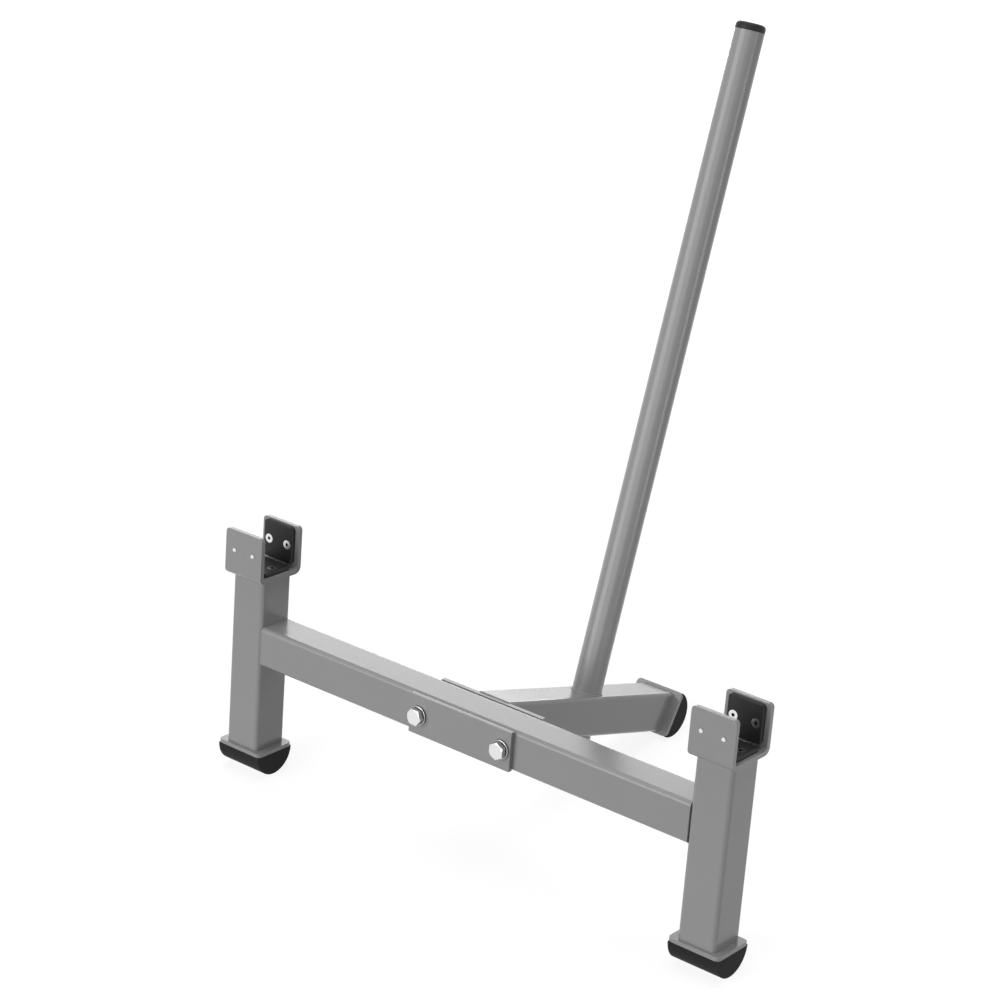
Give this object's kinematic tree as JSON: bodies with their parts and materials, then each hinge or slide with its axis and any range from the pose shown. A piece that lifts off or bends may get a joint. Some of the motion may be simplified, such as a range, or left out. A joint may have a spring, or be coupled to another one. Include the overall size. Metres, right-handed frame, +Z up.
{
  "type": "barbell jack",
  "caption": "Barbell jack: two lined U cradles on uprights joined by a crossbar, with a bolted rear leg, round rubber feet and a long rocking lever.",
  "frame": {"origin": "on the floor, under the middle of the overall bounding box, with the jack resting on its three rubber feet", "axes": "+Z up; X along the crossbar and along the barbell that the cradles take; -Y is the front, where the bolt heads are, and +Y the side of the rear leg and the lever"},
  "size_m": [0.77, 0.6186, 0.888],
  "materials": {
    "frame_paint": "satin powder coat, mid grey",
    "zinc_steel": "bright zinc-plated steel",
    "black_rubber": "matt black moulded rubber",
    "liner_plastic": "matt black wear-resistant plastic",
    "cap_plastic": "satin black moulded plastic"
  },
  "bodies": {
    "root": {"left_upright": "frame_paint", "right_upright": "frame_paint", "crossbar": "frame_paint", "left_cradle": "frame_paint", "right_cradle": "frame_paint", "left_base_plate": "frame_paint", "right_base_plate": "frame_paint", "rear_base_plate": "frame_paint", "front_clamp_plate": "frame_paint", "rear_clamp_plate": "frame_paint", "rear_leg": "frame_paint", "handle": "frame_paint", "handle_cap": "cap_plastic", "clamp_bolts": "zinc_steel", "clamp_washers": "zinc_steel", "clamp_nuts": "zinc_steel", "left_foot": "black_rubber", "right_foot": "black_rubber", "rear_foot": "black_rubber", "foot_screws": "zinc_steel", "left_front_liner": "liner_plastic", "left_rear_liner": "liner_plastic", "left_floor_liner": "liner_plastic", "right_front_liner": "liner_plastic", "right_rear_liner": "liner_plastic", "right_floor_liner": "liner_plastic", "left_liner_screws": "zinc_steel", "right_liner_screws": "zinc_steel"}
  },
  "joints": []
}
